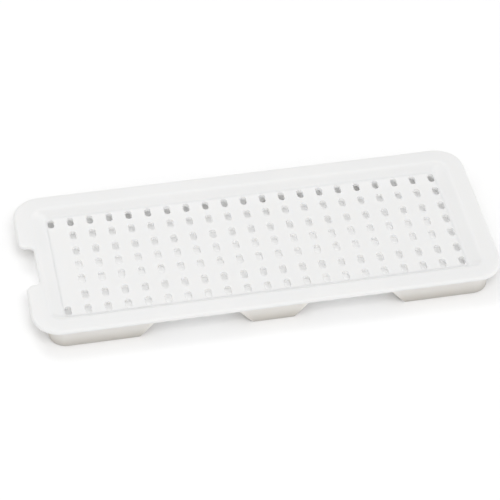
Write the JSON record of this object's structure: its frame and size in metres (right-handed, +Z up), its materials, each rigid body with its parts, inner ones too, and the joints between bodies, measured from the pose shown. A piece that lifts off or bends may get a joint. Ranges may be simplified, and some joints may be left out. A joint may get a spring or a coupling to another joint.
{
  "type": "queen excluder",
  "caption": "Slotted plastic tray on hollow feet that lets worker bees through and keeps the queen back, with a raised rim and a notched end.",
  "frame": {"origin": "on the floor under the middle of the rim's outline", "axes": "+X along the tray away from the notched end, +Y towards the rear side, +Z up"},
  "size_m": [0.3316, 0.1364, 0.0165],
  "materials": {
    "white_plastic": "satin, slightly translucent injection-moulded polypropylene"
  },
  "bodies": {
    "root": {"slotted_panel": "white_plastic", "sloped_wall": "white_plastic", "rim": "white_plastic", "front_left_foot": "white_plastic", "front_middle_foot": "white_plastic", "front_right_foot": "white_plastic", "rear_left_foot": "white_plastic", "rear_middle_foot": "white_plastic", "rear_right_foot": "white_plastic", "front_rib": "white_plastic", "rear_rib": "white_plastic"}
  },
  "joints": []
}
